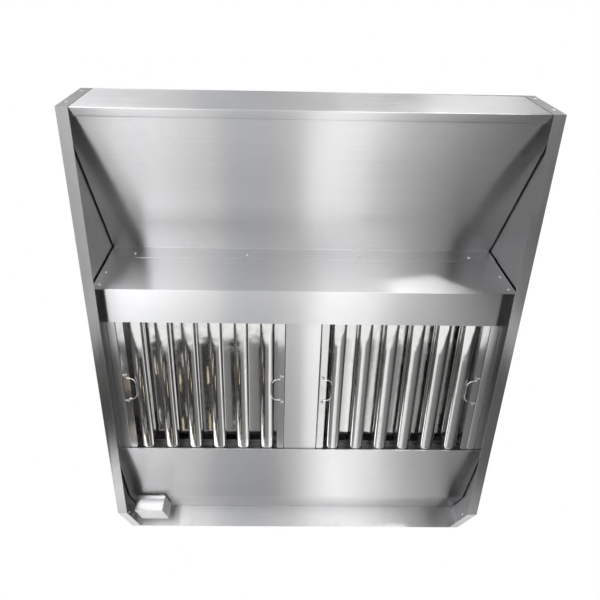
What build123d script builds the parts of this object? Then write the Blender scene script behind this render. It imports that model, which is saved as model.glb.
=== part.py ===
from build123d import *
import math
import os

# A wall canopy hood for a commercial kitchen, in millimetres.
# X runs from left to right, Y from the front to the wall, Z up.
# The origin is the middle of the four hanger holes, on top of their ledges.

# Sheet steel of the hood
sheet = 1.2
bend_inside = 1.0
stiff_flange = 25
hem = 8

# End panels, with a slanted rim that ends level at the wall
rim_flange = 30
level_edge = 177
skirt_below_trough = 68
end_gap = 4.3

# Fascia
fascia_height = 152
fascia_return = 22
fascia_lift = 1.5

# Ceiling of the canopy
ceiling_lift = 5
ceiling_depth = 413
ceiling_drop = 52

# Plenum front, whose lower end turns back over the filters
plenum_drop = 191
filter_tilt = 28.1

# Filter tracks, measured down the slope and behind its face
channel_setback = 20
headroom = 10
lift = 25
upper_cover = 42
lower_cover = 15
track_front = 5
track_room = 45
upper_wing = 75
lower_wing = 12
channel_tab = 25
seat_clear = 0.3
weep_count = 5
weep_length = 60
weep_width = 12

# Lower panel and grease trough
panel_run = 243
panel_drop = 71
trough_depth = 126
trough_upstand = 40

# Grease filters
filter_width = 498
filter_length = 498
filter_depth = 44
filter_sheet = 0.8
filter_bend = 0.6
front_rail = 22
end_front_rail = 15
side_back_rail = 32
end_back_rail = 8
baffle_side_gap = 10.5
front_baffles = 6
front_web = 43
front_corner = 9
front_leg = 20
rear_web = 56
rear_corner = 7
rear_leg = 28
rear_short = 38
baffle_gap = 0.4
strap_width = 20
strap_inset = 150
strap_overlap = 10

# Blanks between and beside the filters
centre_blank_width = 106
side_blank_width = 25
blank_gap = 1
side_return = 24.3
blank_joint = 0.5

# Filter handles
wire_radius = 1.5
handle_span = 72
handle_reach = 28
handle_pin = 12
handle_bend = 4
handle_corner = 19
handle_place = 262
pivot_inset = 12
wire_lift = 0.35
pin_clear = 0.06
eye_length = 6
eye_wall = 1.3
eye_foot = 8
eye_offset = 8

# Grease cup and its rails
cup_width = 97
cup_depth = 106
cup_height = 47
cup_sheet = 0.8
cup_corner = 1.6
cup_flange = 8.4
cup_hem = 11
cup_from_side = 35.5
cup_ahead = 14
cup_hang = 0.3
cup_side_clear = 0.6
cup_rear_clear = 4
rail_flange = 10
rail_drop = 7
rail_sheet = 1.0
rail_bend = 0.5

# Drain from the trough to the cup
drain_radius = 12
drain_wall = 1.0
drain_lip = 5
drain_spout = 2.5
drain_fit = 0.1

# Exhaust collar
collar_radius = 152.4
collar_sheet = 1.6
collar_height = 102
collar_flange = 25
collar_from_wall = 360

# Hangers
hanger_rise = 40
hanger_inset_x = 45
hanger_inset_y = 55
hanger_width = 50
hanger_leg = 40
hanger_foot = 45
hanger_sheet = 4
hanger_bend = 3
hanger_hole = 7.15

# Stiffeners under the top and on the ceiling
stiffener_flange = 50
stiffener_drop = 40
stiffener_sheet = 2
stiffener_end_gap = 18
hat_web = 40
hat_rise = 25
hat_foot = 18

# Fasteners
hole_clear = 0.15
head_rounding = 0.6
screw_radius = 2
screw_head = 4.6
screw_head_rise = 2.2
screw_length = 7
ceiling_screw_count = 4
ceiling_screw_inset = 77
ceiling_screw_drop = 33
side_screw_inset = 15
side_screw_drops = (117, 172)
corner_fastener_inset = 12.5
corner_fastener_heights = (34, 125)
corner_fastener_head = 4
corner_fastener_rise = 0.4
rivet_radius = 1.2
rivet_head = 2.2
rivet_head_rise = 0.7
bolt_radius = 4
bolt_head = 7.5
bolt_head_rise = 5.3
bolt_spacing = 26
bolt_tail = 3
nut_rise = 6.5
skirt_hole_radius = 3.5
skirt_hole_from_wall = 76
skirt_hole_above_edge = 26

# Widths, built up from the middle outwards
filter_left_edge = centre_blank_width / 2 + blank_gap
side_blank_start = filter_left_edge + filter_width + blank_gap
side_blank_end = side_blank_start + side_blank_width
liner_half = side_blank_end + blank_joint + side_return
body_half = liner_half + sheet
inside_half = body_half + end_gap
half_width = inside_half + sheet

# Front baffles fill the width between the side rails' front flanges
first_baffle = front_rail + baffle_side_gap
baffle_pitch = (filter_width - 2 * first_baffle - front_web) / (front_baffles - 1)

# Places down the filter slope
tilt = math.radians(filter_tilt)
filter_start = channel_setback + sheet + headroom + lift
lip_length = filter_start + upper_cover
filter_end = filter_start + filter_length
seat = filter_end + seat_clear
lower_lip = filter_end - lower_cover
track_back = track_front + track_room
plenum_face = ceiling_depth + sheet
plenum_back = plenum_face + sheet


def on_slope(s, n):
    """Section point s down the filter slope and n behind its face."""
    back = plenum_face + s * math.cos(tilt) + n * math.sin(tilt)
    up = -plenum_drop - s * math.sin(tilt) + n * math.cos(tilt)
    return (back, up)


# Levels and depths that follow from the slope
lip_corner = on_slope(lower_lip, 0)
trough_front = lip_corner[0] + panel_run
trough_floor = lip_corner[1] - panel_drop
panel_tilt = math.atan2(panel_drop, panel_run)
wall_inside = trough_front + trough_depth
depth = wall_inside + sheet
edge_drop = skirt_below_trough - trough_floor
top_inside = fascia_height - sheet
front_y = -depth / 2
edge_z = -hanger_rise - fascia_height

# The grease cup hangs just under the trough
cup_middle = cup_from_side + cup_width / 2 - body_half
cup_front = trough_front - cup_ahead
cup_back = cup_front + cup_depth
cup_top = trough_floor - rail_drop + rail_sheet + cup_hang + cup_sheet


def level(x, back, up):
    """Place in the hood, from the middle, the front and the fascia's edge."""
    return Pos(x, front_y + back, edge_z + up)


def section_plane(x):
    """Upright plane at x whose first direction runs back and second up."""
    origin = (x, front_y, edge_z)
    return Plane(origin=origin, x_dir=(0, 1, 0), z_dir=(1, 0, 0))


def slope_plane(x=0):
    """Plane in the filters' face, Y down the slope and Z into the plenum."""
    back, up = on_slope(0, 0)
    origin = (x, front_y + back, edge_z + up)
    return Plane(origin=origin, x_dir=(1, 0, 0), z_dir=(0, math.sin(tilt), math.cos(tilt)))


def across(face, low, high):
    """Section face drawn out along X from low to high."""
    return extrude(section_plane(low) * face, high - low)


def along(face, low, high):
    """Face over X and Z drawn out along Y from low to high."""
    return extrude(Plane.XZ.offset(-low) * face, low - high)


def block(x_span, back_span, up_span):
    """Box between pairs of limits, measured as level() measures."""
    spans = (x_span, back_span, up_span)
    size = [high - low for low, high in spans]
    corner = [low for low, high in spans]
    return level(*corner) * Box(*size, align=(Align.MIN, Align.MIN, Align.MIN))


def upward_cylinder(radius, height):
    """Cylinder that stands on Z=0."""
    return Cylinder(radius, height, align=(Align.CENTER, Align.CENTER, Align.MIN))


def group(shapes):
    """All the shapes as one group of separate solids."""
    return Compound(children=list(shapes))


def pair(shape):
    """A shape and its mirror image on the other side of the middle."""
    return [shape, mirror(shape, Plane.YZ)]


def outline_face(points):
    """Face inside a closed outline of straight edges."""
    return make_face(Polyline(*points, close=True))


def moved_points(points, distance):
    """A bent line's points moved to its left, square to each run."""
    runs = [(Vector(*b) - Vector(*a)).normalized() for a, b in zip(points, points[1:])]
    lefts = [Vector(-run.Y, run.X) for run in runs]
    moved = [Vector(*points[0]) + lefts[0] * distance]
    for point, a, b in zip(points[1:], lefts, lefts[1:]):
        moved.append(Vector(*point) + (a + b) * (distance / (1 + a.dot(b))))
    moved.append(Vector(*points[-1]) + lefts[-1] * distance)
    return [(p.X, p.Y) for p in moved]


def folded(points, thick, side=1, inside=bend_inside):
    """Section of a folded sheet whose skin lies to one side of a bent line."""
    inner = moved_points(points, side * thick)
    face = outline_face([*points, *reversed(inner)])
    for a, b, c, opposite in zip(points, points[1:], points[2:], inner[1:]):
        turn = (b[0] - a[0]) * (c[1] - b[1]) - (b[1] - a[1]) * (c[0] - b[0])
        line_is_outside = turn * side > 0
        at_line = inside + thick if line_is_outside else inside
        at_skin = inside if line_is_outside else inside + thick
        for place, radius in ((b, at_line), (opposite, at_skin)):
            corner = face.vertices().sort_by_distance(Vector(*place))[0]
            face = fillet(corner, radius)
    return face


def strip(start, end, low, high):
    """Four-sided section between two offsets to the left of a straight run."""
    near = moved_points([start, end], low)
    far = moved_points([start, end], high)
    return outline_face([*near, *reversed(far)])


def fastener(radius, head, rise, length):
    """Round-headed fastener, its head above Z=0 and its shank below."""
    shank = Cylinder(radius, length, align=(Align.CENTER, Align.CENTER, Align.MAX))
    dome = upward_cylinder(head, rise)
    rim = dome.edges().filter_by(GeomType.CIRCLE).group_by(Axis.Z)[-1]
    return shank + fillet(rim, rise * head_rounding)


def facing_front(x, back, up):
    """Place on an upright face whose outward side looks to the front."""
    return level(x, back, up) * Rot(90, 0, 0)


def end_panel():
    """Left end panel with its front flange, slanted rim and level rear edge."""
    bend = (depth - level_edge, -edge_drop)
    corner = (wall_inside, -edge_drop)
    plate = across(
        outline_face([(0, 0), bend, corner, (wall_inside, top_inside), (0, top_inside)]),
        -half_width,
        -inside_half,
    )
    inner = rim_flange - half_width
    rim = across(folded([(0, 0), bend, corner], sheet), -inside_half, inner)
    hem_start = fascia_return + fascia_lift
    hem_level = -edge_drop * hem_start / bend[0]
    rim_hem = across(strip((hem_start, hem_level), bend, sheet, 2 * sheet), inner - hem, inner)
    front = block((-inside_half, inner), (0, sheet), (0, top_inside))
    panel = plate + rim + rim_hem + front - corner_fastener_holes()
    hole = Rot(0, 90, 0) * Cylinder(skirt_hole_radius, 4 * sheet)
    return panel - level(-half_width, depth - skirt_hole_from_wall, skirt_hole_above_edge - edge_drop) * hole


def corner_fastener_places():
    """Places of the fastenings through the left end panel's front flange."""
    x = corner_fastener_inset - half_width
    return [facing_front(x, 0, height) for height in corner_fastener_heights]


def corner_fastener_holes():
    """Holes for the fastenings on both sides of the fascia."""
    hole = Cylinder(rivet_radius + hole_clear, 6 * sheet)
    return group(shape for place in corner_fastener_places() for shape in pair(place * hole))


def corner_fasteners():
    """Low-headed fasteners that join the end panels to the fascia."""
    one = fastener(rivet_radius, corner_fastener_head, corner_fastener_rise, 4 * sheet)
    return group(shape for place in corner_fastener_places() for shape in pair(place * one))


def fascia():
    """Front panel with its top flange and the return under its lower edge."""
    line = [
        (sheet + stiff_flange, top_inside),
        (sheet, top_inside),
        (sheet, fascia_lift),
        (fascia_return, fascia_lift),
        (fascia_return, ceiling_lift),
    ]
    return across(folded(line, sheet), -inside_half, inside_half) - corner_fastener_holes()


def ceiling_panel():
    """Canopy ceiling, turned up at the front and down over the plenum front."""
    line = [
        (2 * sheet, ceiling_lift + stiff_flange),
        (2 * sheet, ceiling_lift),
        (ceiling_depth, ceiling_lift),
        (ceiling_depth, ceiling_lift - ceiling_drop),
    ]
    return across(folded(line, sheet), -body_half, body_half) - ceiling_screw_holes()


def ceiling_screw_places():
    """Evenly spaced places of the screws through the ceiling's rear flange."""
    end = body_half - ceiling_screw_inset
    pitch = 2 * end / (ceiling_screw_count - 1)
    up = ceiling_lift - ceiling_screw_drop
    return [facing_front(number * pitch - end, ceiling_depth, up) for number in range(ceiling_screw_count)]


def ceiling_screw_holes():
    """Holes for the ceiling screws, through the flange and the plenum front."""
    hole = Cylinder(screw_radius + hole_clear, 8 * sheet)
    return group(place * hole for place in ceiling_screw_places())


def ceiling_screws():
    """Screws along the ceiling's rear flange."""
    one = fastener(screw_radius, screw_head, screw_head_rise, screw_length)
    return group(place * one for place in ceiling_screw_places())


def ceiling_stiffener():
    """Hat-shaped stiffener on the ceiling's upper side."""
    middle = ceiling_depth / 2
    foot = ceiling_lift + 2 * sheet
    crown = foot + hat_rise
    line = [
        (middle - hat_web / 2 - hat_foot, foot),
        (middle - hat_web / 2, foot),
        (middle - hat_web / 2, crown),
        (middle + hat_web / 2, crown),
        (middle + hat_web / 2, foot),
        (middle + hat_web / 2 + hat_foot, foot),
    ]
    half = liner_half - stiff_flange - stiffener_end_gap
    return across(folded(line, sheet, side=-1), -half, half)


def plenum_front():
    """Plenum's front wall, which turns back along the slope and ends in a hem."""
    line = [
        (plenum_face + stiff_flange, top_inside),
        (plenum_face, top_inside),
        on_slope(0, 0),
        on_slope(lip_length, 0),
    ]
    lip_hem = strip(on_slope(lip_length - hem, 0), on_slope(lip_length, 0), sheet, 2 * sheet)
    wall = across(folded(line, sheet) + lip_hem, -body_half, body_half)
    return wall - ceiling_screw_holes() - side_screw_holes()


def side_screw_places():
    """Places of the screws through the plenum front, near its left edge."""
    x = side_screw_inset - body_half
    return [facing_front(x, plenum_face, -drop) for drop in side_screw_drops]


def side_screw_holes():
    """Holes for the screws near both edges of the plenum front."""
    hole = Cylinder(screw_radius + hole_clear, 8 * sheet)
    return group(shape for place in side_screw_places() for shape in pair(place * hole))


def plenum_screws():
    """Screws near both edges of the plenum front."""
    one = fastener(screw_radius, screw_head, screw_head_rise, screw_length)
    return group(shape for place in side_screw_places() for shape in pair(place * one))


def plenum_side():
    """Left end wall of the plenum, with its flanges and the filter return."""
    wall_top = top_inside - sheet
    start = (sheet - track_front * math.sin(tilt)) / math.cos(tilt)
    outline = [
        (plenum_back + bend_inside, wall_top),
        (plenum_back, wall_top - bend_inside),
        on_slope(start, track_front),
        on_slope(lower_lip, track_front),
        lip_corner,
        (trough_front, trough_floor),
        (wall_inside, trough_floor),
        (wall_inside, wall_top),
    ]
    wall = across(outline_face(outline), -body_half, -liner_half)
    flange_span = (-liner_half, stiff_flange - liner_half)
    flange_low = 2 * track_front - plenum_drop
    front_span = (flange_low, wall_top - bend_inside)
    front = block(flange_span, (plenum_back, plenum_back + sheet), front_span)
    reach = (plenum_face + stiff_flange + sheet, wall_inside - stiff_flange - sheet)
    head = block((-body_half, flange_span[1]), reach, (wall_top, top_inside))
    leg = strip(on_slope(filter_start, 0), on_slope(filter_end, 0), track_front, track_front + sheet)
    filter_return = across(leg, -liner_half, side_return - liner_half)
    return wall + front + head + filter_return - side_screw_holes()


def grease_trough():
    """Lower panel, sloping back to the grease trough's floor and upstand."""
    line = [
        lip_corner,
        (trough_front, trough_floor),
        (wall_inside, trough_floor),
        (wall_inside, trough_floor + trough_upstand),
    ]
    fold_end = (
        lip_corner[0] + hem * math.cos(panel_tilt),
        lip_corner[1] - hem * math.sin(panel_tilt),
    )
    face = folded(line, sheet) + strip(lip_corner, fold_end, sheet, 2 * sheet)
    return across(face, -liner_half, liner_half) - drain_place() * Cylinder(drain_radius, 4 * sheet)


def drain_place():
    """Middle of the drain hole, on the upper side of the trough's floor."""
    return level(cup_middle, (cup_front + cup_back) / 2, trough_floor + sheet)


def drain_ferrule():
    """Pressed ring in the trough's drain hole, with a short spout."""
    outer = drain_radius - drain_fit
    height = sheet + drain_spout
    spout = Cylinder(outer, height, align=(Align.CENTER, Align.CENTER, Align.MAX))
    lip = upward_cylinder(drain_radius + drain_lip, drain_wall)
    bore = Cylinder(outer - drain_wall, 4 * height)
    return drain_place() * (lip + spout - bore)


def upper_channel():
    """Left half of the channel over the filters, inside the plenum front's lip."""
    far = track_back + sheet
    line = [
        on_slope(channel_setback + upper_wing, far),
        on_slope(channel_setback, far),
        on_slope(channel_setback, sheet),
        on_slope(channel_setback + channel_tab, sheet),
    ]
    return across(folded(line, sheet), -liner_half, 0)


def lower_channel():
    """Left half of the channel that the filters stand in, slotted for grease."""
    far = track_back + sheet
    outer = seat + sheet
    rise = tilt - panel_tilt
    foot = (outer - lower_lip) * math.tan(rise) + 2 * sheet / math.cos(rise)
    toe = on_slope(outer + channel_tab * math.cos(rise), foot + channel_tab * math.sin(rise))
    line = [on_slope(seat - lower_wing, far), on_slope(outer, far), on_slope(outer, foot), toe]
    channel = across(folded(line, sheet, side=-1), -liner_half, 0)
    slot = Rot(90, 0, 0) * extrude(SlotOverall(weep_length, weep_width), 4 * sheet, both=True)
    pitch = liner_half / weep_count
    middle = (track_front + track_back) / 2
    for number in range(weep_count):
        x = (number + 0.5) * pitch - liner_half
        channel -= slope_plane(x) * Pos(0, seat, middle) * slot
    return channel


def blank(low, high):
    """Channel-shaped blank that fills the filter track from low to high in X."""
    back = track_back - bend_inside
    line = [(low, back), (low, track_front), (high, track_front), (high, back)]
    return slope_plane() * along(folded(line, sheet), filter_start, seat)


def top_panel():
    """Outer top with side flanges turned down and the exhaust opening."""
    top = block((-half_width, half_width), (0, depth), (top_inside, fascia_height))
    clear = stiff_flange + 2 * sheet
    drop = (top_inside - stiff_flange, top_inside)
    flange = block((-inside_half, sheet - inside_half), (clear, depth - clear), drop)
    bore = Cylinder(collar_radius - collar_sheet, 4 * sheet)
    return top + pair(flange) - collar_place() * bore - bolt_holes()


def back_panel():
    """Wall panel, with its sides and top turned forward."""
    wall = block((-half_width, half_width), (wall_inside, depth), (-edge_drop, top_inside))
    reach = (wall_inside - stiff_flange, wall_inside)
    side = block((-inside_half, sheet - inside_half), reach, (sheet - edge_drop, top_inside))
    head = block((-liner_half, liner_half), reach, (top_inside - sheet, top_inside))
    return wall + pair(side) + head


def collar_place():
    """Middle of the exhaust collar, on the hood's top."""
    return level(0, depth - collar_from_wall, fascia_height)


def collar_tube(outer, low, high):
    """Ring-shaped wall round the duct, between two heights above the top."""
    wall = upward_cylinder(outer, high - low)
    wall -= upward_cylinder(collar_radius - collar_sheet, high - low)
    return collar_place() * Pos(0, 0, low) * wall


def exhaust_collar():
    """Round duct collar that stands on its ring."""
    return collar_tube(collar_radius, collar_sheet, collar_height)


def collar_ring():
    """Flat ring under the collar, on the hood's top."""
    return collar_tube(collar_radius + collar_flange, 0, collar_sheet)


def hanger_places():
    """Hole places of the four hangers by name, as X and distance back."""
    rows = {"front": hanger_inset_y, "rear": depth - hanger_inset_y}
    sides = {"left": hanger_inset_x - half_width, "right": half_width - hanger_inset_x}
    return {f"hanger_{row}_{side}": (sides[side], rows[row]) for row in rows for side in sides}


def bolt_offset():
    """Distance from a hanger's hole to its foot bolts, towards the middle."""
    return (hanger_leg + hanger_foot + hanger_sheet) / 2


def hanger(x, back):
    """Folded hanger, its ledge drilled for a threaded rod."""
    riser = hanger_leg / 2
    line = [
        (-riser, hanger_rise),
        (riser, hanger_rise),
        (riser, hanger_sheet),
        (riser + hanger_foot, hanger_sheet),
    ]
    section = folded(line, hanger_sheet, side=-1, inside=hanger_bend)
    body = along(section, -hanger_width / 2, hanger_width / 2)
    body -= Pos(0, 0, hanger_rise) * Cylinder(hanger_hole, 4 * hanger_sheet)
    turned = body if x < 0 else mirror(body, Plane.YZ)
    return level(x, back, fascia_height) * turned - bolt_holes()


def bolt_places():
    """Places of the foot bolts on the hood's top."""
    places = []
    for x, back in hanger_places().values():
        bolt_x = x - math.copysign(bolt_offset(), x)
        for step in (-bolt_spacing / 2, bolt_spacing / 2):
            places.append(level(bolt_x, back + step, fascia_height))
    return places


def bolt_holes():
    """Holes for the foot bolts in the feet, the top and the stiffeners."""
    hole = Cylinder(bolt_radius + hole_clear, 4 * (hanger_sheet + sheet + stiffener_sheet))
    return group(place * hole for place in bolt_places())


def foot_bolts():
    """Hexagon bolts down through the hanger feet."""
    length = hanger_sheet + sheet + stiffener_sheet + nut_rise + bolt_tail
    shank = Cylinder(bolt_radius, length, align=(Align.CENTER, Align.CENTER, Align.MAX))
    head = extrude(RegularPolygon(bolt_head, 6), bolt_head_rise)
    return group(place * Pos(0, 0, hanger_sheet) * (head + shank) for place in bolt_places())


def foot_nuts():
    """Hexagon nuts on the foot bolts, under the stiffeners."""
    nut = extrude(RegularPolygon(bolt_head, 6), -nut_rise)
    nut -= Cylinder(bolt_radius + hole_clear, 4 * nut_rise)
    return group(place * Pos(0, 0, -sheet - stiffener_sheet) * nut for place in bolt_places())


def stiffener(back, turn):
    """Angle under the top, on the line of two hangers."""
    upright = back - turn * stiffener_flange / 2
    line = [
        (upright + turn * stiffener_flange, top_inside),
        (upright, top_inside),
        (upright, top_inside - stiffener_drop),
    ]
    face = folded(line, stiffener_sheet, side=turn, inside=stiffener_sheet)
    half = liner_half - stiff_flange - stiffener_end_gap
    return across(face, -half, half) - bolt_holes()


def cup_rail(side):
    """Rail under the trough that one side of the cup slides on."""
    outer = cup_width / 2 - cup_sheet - cup_side_clear
    web = outer - rail_flange
    line = [(web - rail_flange, 0), (web, 0), (web, rail_sheet - rail_drop), (outer, rail_sheet - rail_drop)]
    start = cup_front + cup_sheet + cup_side_clear
    section = folded(line, rail_sheet, side=-1, inside=rail_bend)
    rail = along(section, 0, cup_back - cup_sheet - start)
    turned = rail if side > 0 else mirror(rail, Plane.YZ)
    return level(cup_middle, start, trough_floor) * turned


def grease_cup():
    """Cup with inward side flanges, a hemmed front and a lower rear wall."""
    low = cup_top - cup_height
    left, right = cup_middle - cup_width / 2, cup_middle + cup_width / 2
    inner_x = (left + cup_sheet, right - cup_sheet)
    inner_back = (cup_front + cup_sheet, cup_back - cup_sheet)
    shell = block((left, right), (cup_front, cup_back), (low, cup_top))
    shell = fillet(shell.edges().filter_by(Axis.Z), cup_corner)
    hollow = block(inner_x, inner_back, (low + cup_sheet, cup_top - cup_sheet))
    hollow = fillet(hollow.edges().filter_by(Axis.Z), cup_corner - cup_sheet)
    mouth = block((left + cup_flange, right - cup_flange), inner_back, (low + cup_sheet, cup_top))
    rear_top = trough_floor - rail_drop - cup_rear_clear
    rear = block(inner_x, (cup_back - 2 * cup_corner, cup_back), (rear_top, cup_top))
    hem_x = (left + cup_corner, right - cup_corner)
    front_hem = block(hem_x, (cup_front - cup_sheet, cup_front), (cup_top - cup_hem, cup_top))
    return shell - hollow - mouth - rear + front_hem


def filter_rail(length, front_flange, back_flange):
    """Filter frame rail along Y, open towards +X, with mitred ends."""
    line = [(front_flange, 0), (0, 0), (0, filter_depth), (back_flange, filter_depth)]
    rail = along(folded(line, filter_sheet, side=-1, inside=filter_bend), 0, length)
    mitre = outline_face([(0, 0), (length / 2, length / 2), (0, length)])
    return rail & extrude(mitre, filter_depth)


def transposed(shape):
    """A shape with its X and Y directions swapped."""
    return mirror(Rot(0, 0, 90) * shape, Plane.YZ)


def eye_centres():
    """The four handle eyes of one filter, as X, Y and inward direction."""
    reach = handle_span / 2 + eye_offset
    sides = ((pivot_inset, 1), (filter_width - pivot_inset, -1))
    return [(x, handle_place + step, inward) for x, inward in sides for step in (-reach, reach)]


def rivet_offset():
    """Distance of an eye's rivet from the middle of its bore."""
    return wire_radius + pin_clear + eye_wall + eye_foot / 2


def at_rivets(shape):
    """Copies of a shape at the rivets of one filter's eyes."""
    return group(Pos(x - inward * rivet_offset(), y, 0) * shape for x, y, inward in eye_centres())


def eye_rivet_holes():
    """Holes in the side rails under the eyes' rivets."""
    return at_rivets(Cylinder(rivet_radius + hole_clear, 4 * filter_sheet))


def eye_rivets():
    """Rivets that hold the eyes on the side rails."""
    one = fastener(rivet_radius, rivet_head, rivet_head_rise, 3 * filter_sheet)
    return at_rivets(Pos(0, 0, -filter_sheet) * Rot(180, 0, 0) * one)


def handle_eyes():
    """Four eyes that hold the handle wires on the side rails."""
    bore = wire_radius + pin_clear
    outer = bore + eye_wall
    pin_drop = wire_radius + wire_lift
    profile = Pos(0, -pin_drop) * Circle(outer)
    profile += Pos(0, -pin_drop / 2) * Rectangle(2 * outer, pin_drop)
    profile += Pos(-(outer + eye_foot) / 2, -filter_sheet / 2) * Rectangle(outer + eye_foot, filter_sheet)
    profile -= Pos(0, -pin_drop) * Circle(bore)
    profile -= Pos(0, outer) * Rectangle(4 * outer, 2 * outer)
    eye = along(profile, -eye_length / 2, eye_length / 2)
    eye -= Pos(-rivet_offset(), 0, 0) * Cylinder(rivet_radius + hole_clear, 4 * filter_sheet)
    return group(
        Pos(x, y, 0) * (eye if inward > 0 else mirror(eye, Plane.YZ)) for x, y, inward in eye_centres()
    )


def handle(x, inward):
    """Wire handle lying flat over the rail, its ends turned out into the eyes."""
    half = handle_span / 2
    end = half + handle_pin
    points = [(0, -end), (0, -half), (handle_reach, -half), (handle_reach, half), (0, half), (0, end)]
    radii = [handle_bend, handle_corner, handle_corner, handle_bend]
    path = FilletPolyline(*points, radius=radii)
    wire = sweep(Plane(origin=path @ 0, z_dir=path % 0) * Circle(wire_radius), path=path)
    turned = wire if inward > 0 else mirror(wire, Plane.YZ)
    return Pos(x, handle_place, -wire_radius - wire_lift) * turned


def baffle(web, leg, corner):
    """Rounded channel between the end rails' webs, its web at Z=0."""
    line = [(0, leg), (0, 0), (web, 0), (web, leg)]
    section = folded(line, filter_sheet, inside=corner - filter_sheet)
    return along(section, filter_sheet, filter_length - filter_sheet)


def trimmed(shape, web, corner, upper, lower):
    """A baffle with its web cut away near both ends, its legs left long."""
    for start, end in ((0, upper), (filter_length - lower, filter_length)):
        cut = Box(web, end - start, corner, align=(Align.MIN, Align.MIN, Align.MIN))
        shape -= Pos(0, start, 0) * cut
    return shape


def spread(shape, web, count):
    """Copies of a baffle at the baffle pitch, about the filter's middle."""
    first = (filter_width - (count - 1) * baffle_pitch - web) / 2
    return group(Pos(first + number * baffle_pitch, 0, 0) * shape for number in range(count))


def front_baffle_group():
    """Front baffles, whose legs run on between the end rails' flanges."""
    cut = end_front_rail + baffle_gap
    one = trimmed(baffle(front_web, front_leg, front_corner), front_web, front_corner, cut, cut)
    return spread(one, front_web, front_baffles)


def rear_baffle_group():
    """Rear baffles, turned the other way behind the gaps of the front ones."""
    cut = end_back_rail + baffle_gap
    one = trimmed(baffle(rear_web, rear_leg, rear_corner), rear_web, rear_corner, cut, rear_short)
    return Pos(0, 0, filter_depth) * spread(mirror(one, Plane.XY), rear_web, front_baffles - 1)


def tie_straps():
    """Two flat straps across the back that hold the rear baffles."""
    start = side_back_rail - strap_overlap
    length = filter_width - 2 * start
    strap = Box(length, strap_width, filter_sheet, align=(Align.MIN, Align.CENTER, Align.MIN))
    places = (strap_inset, filter_length - strap_inset)
    return group(Pos(start, y, filter_depth) * strap for y in places)


def filter_parts():
    """Pieces of one filter, with X=0 at its left edge and Y=0 at its top."""
    side = filter_rail(filter_length, front_rail, side_back_rail)
    end = transposed(filter_rail(filter_width, end_front_rail, end_back_rail))
    return {
        "left_rail": side - eye_rivet_holes(),
        "right_rail": Pos(filter_width, 0, 0) * mirror(side, Plane.YZ) - eye_rivet_holes(),
        "upper_rail": end,
        "lower_rail": Pos(0, filter_length, 0) * mirror(end, Plane.XZ),
        "front_baffles": front_baffle_group(),
        "rear_baffles": rear_baffle_group(),
        "tie_straps": tie_straps(),
        "handle_eyes": handle_eyes(),
        "eye_rivets": eye_rivets(),
        "left_handle": handle(pivot_inset, 1),
        "right_handle": handle(filter_width - pivot_inset, -1),
    }


def build():
    """Every piece of the hood by name."""
    left_end = end_panel()
    left_side = plenum_side()
    left_blank = blank(-side_blank_end, -side_blank_start)
    upper_left = upper_channel()
    lower_left = lower_channel()
    pieces = {
        "left_end_panel": left_end,
        "right_end_panel": mirror(left_end, Plane.YZ),
        "fascia": fascia(),
        "corner_fasteners": corner_fasteners(),
        "top_panel": top_panel(),
        "back_panel": back_panel(),
        "front_stiffener": stiffener(hanger_inset_y, 1),
        "rear_stiffener": stiffener(depth - hanger_inset_y, -1),
        "foot_bolts": foot_bolts(),
        "foot_nuts": foot_nuts(),
        "exhaust_collar": exhaust_collar(),
        "collar_ring": collar_ring(),
        "ceiling_panel": ceiling_panel(),
        "ceiling_stiffener": ceiling_stiffener(),
        "ceiling_screws": ceiling_screws(),
        "plenum_front": plenum_front(),
        "plenum_left_side": left_side,
        "plenum_right_side": mirror(left_side, Plane.YZ),
        "plenum_screws": plenum_screws(),
        "grease_trough": grease_trough(),
        "drain_ferrule": drain_ferrule(),
        "upper_left_channel": upper_left,
        "upper_right_channel": mirror(upper_left, Plane.YZ),
        "lower_left_channel": lower_left,
        "lower_right_channel": mirror(lower_left, Plane.YZ),
        "centre_blank": blank(-centre_blank_width / 2, centre_blank_width / 2),
        "left_blank": left_blank,
        "right_blank": mirror(left_blank, Plane.YZ),
        "cup_left_rail": cup_rail(-1),
        "cup_right_rail": cup_rail(1),
        "grease_cup": grease_cup(),
    }
    for name, (x, back) in hanger_places().items():
        pieces[name] = hanger(x, back)
    filters = {"left_filter": -filter_left_edge - filter_width, "right_filter": filter_left_edge}
    for name, x in filters.items():
        place = slope_plane(x) * Pos(0, filter_start, track_front)
        for part_name, shape in filter_parts().items():
            pieces[f"{name}_{part_name}"] = place * shape
    return pieces


os.makedirs("parts", exist_ok=True)
for name, shape in build().items():
    export_step(shape, f"parts/{name}.step")
    print(name, len(shape.solids()))
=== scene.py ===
"""A commercial canopy hood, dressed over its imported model.

Lengths are metres in the frame of the model. X runs from left to right, Y from the open
front to the wall, and Z up. The origin is the middle of the four hanger holes.
"""

import logging
import math
from collections.abc import Callable
from dataclasses import dataclass
from enum import Enum

import bmesh
import bpy
from bmesh.types import BMEdge, BMesh, BMVert
from bpy.types import ColorRampElements, Material, Mesh, Node, NodeSocket, NodeTree, Object, World
from mathutils import Matrix, Vector


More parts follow.
